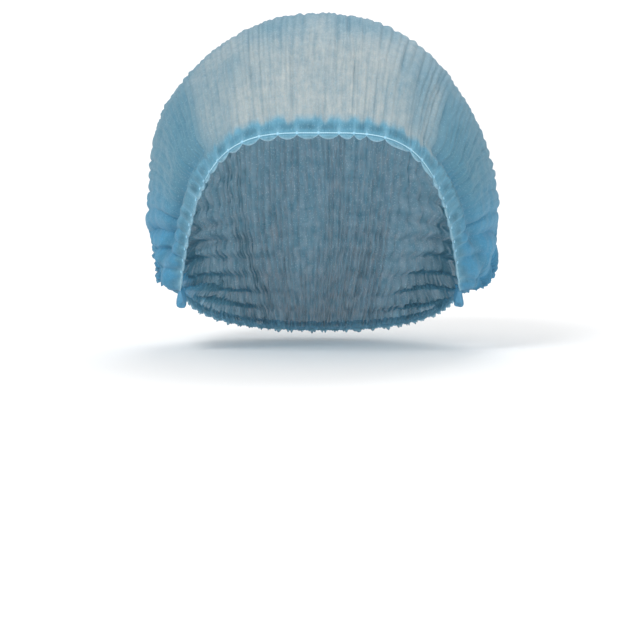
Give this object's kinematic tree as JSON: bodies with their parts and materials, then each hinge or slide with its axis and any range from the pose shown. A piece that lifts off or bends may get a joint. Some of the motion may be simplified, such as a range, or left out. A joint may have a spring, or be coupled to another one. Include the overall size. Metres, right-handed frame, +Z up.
{
  "type": "disposable pleated mob cap",
  "caption": "Disposable non-woven pleated clip cap, domed over the head, with elasticated gathered hems at the brow and nape and a crimped seal at each ear.",
  "frame": {"origin": "the middle of the head opening, midway between the two end seals at the ears", "axes": "+Z up, -Y out of the front (brow), +X to the right of someone facing the front"},
  "size_m": [0.2074, 0.2266, 0.1944],
  "materials": {
    "nonwoven_sheet": "thin translucent spunbond, matt with a slight sheen",
    "nonwoven_hem": "double layer of spunbond, matt",
    "elastic": "covered elastic strand, matt",
    "weld_spot": "fused film, slightly glossy",
    "end_seal": "pleats fused into a ribbed film"
  },
  "bodies": {
    "root": {"crown_sheet": "nonwoven_sheet", "front_hem": "nonwoven_hem", "nape_hem": "nonwoven_hem", "front_elastic": "elastic", "nape_elastic": "elastic", "front_hem_welds": "weld_spot", "nape_hem_welds": "weld_spot", "left_end_seal": "end_seal", "right_end_seal": "end_seal"}
  },
  "joints": []
}
